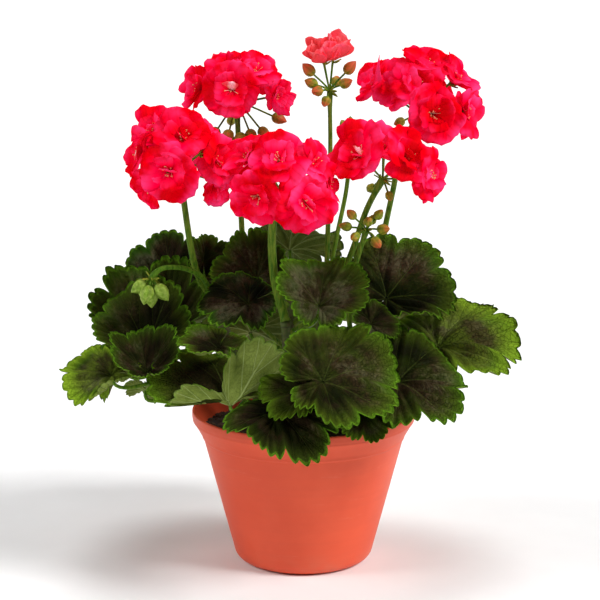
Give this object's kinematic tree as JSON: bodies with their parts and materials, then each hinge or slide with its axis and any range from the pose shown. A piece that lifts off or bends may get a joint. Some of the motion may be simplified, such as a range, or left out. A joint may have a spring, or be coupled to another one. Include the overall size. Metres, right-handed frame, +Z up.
{
  "type": "potted zonal geranium",
  "caption": "Bushy zonal geranium with round red flower heads and lobed dark-zoned leaves, in a tapered terracotta-coloured plastic pot.",
  "frame": {"origin": "centre of the pot's flat foot", "axes": "+Z up the pot's axis, -Y towards the plant's best side, +X to the viewer's right"},
  "size_m": [0.2829, 0.2407, 0.3356],
  "materials": {
    "pot": "satin moulded terracotta-coloured plastic",
    "soil": "moist crumbly dark compost",
    "stem": "rough woody stem turning green",
    "leaf": "velvety matt leaf with a dark zone and a bright green rim",
    "stalk": "finely haired green flower stalks and buds",
    "petals": "soft matt red petals"
  },
  "bodies": {
    "root": {"pot": "pot", "soil": "soil", "branching_stem": "stem", "leaf_front_big": "leaf", "leaf_front_low_left": "leaf", "leaf_front_hanging": "leaf", "leaf_front_low_right": "leaf", "leaf_right_low": "leaf", "leaf_right_wide": "leaf", "leaf_right_fan": "leaf", "leaf_right_inner": "leaf", "leaf_right_behind": "leaf", "leaf_middle_saddle": "leaf", "leaf_middle_left": "leaf", "leaf_middle_bowl": "leaf", "leaf_middle_dark": "leaf", "leaf_middle_back": "leaf", "leaf_left_turned_up": "leaf", "leaf_left_cup": "leaf", "leaf_left_tip": "leaf", "leaf_left_tall": "leaf", "leaf_left_hollow": "leaf", "leaf_left_crest": "leaf", "leaf_left_edge": "leaf", "leaf_left_under": "leaf", "leaf_left_stalk_side": "leaf", "leaf_back_left_high": "leaf", "leaf_back_left_low": "leaf", "leaf_back_middle": "leaf", "leaf_back_right": "leaf", "leaf_back_right_side": "leaf", "leaf_back_left_side": "leaf", "leaf_back_top_left": "leaf", "leaf_back_top_right": "leaf", "leaf_back_foot": "leaf", "head_left_stalk": "stalk", "head_left_florets": "petals", "head_top_left_stalk": "stalk", "head_top_left_florets": "petals", "head_front_stalk": "stalk", "head_front_florets": "petals", "head_right_stalk": "stalk", "head_right_florets": "petals", "head_top_right_stalk": "stalk", "head_top_right_florets": "petals", "head_opening_stalk": "stalk", "head_opening_florets": "petals", "buds_middle_stalk": "stalk", "buds_nodding_stalk": "stalk", "buds_behind_stalk": "stalk"}
  },
  "joints": []
}
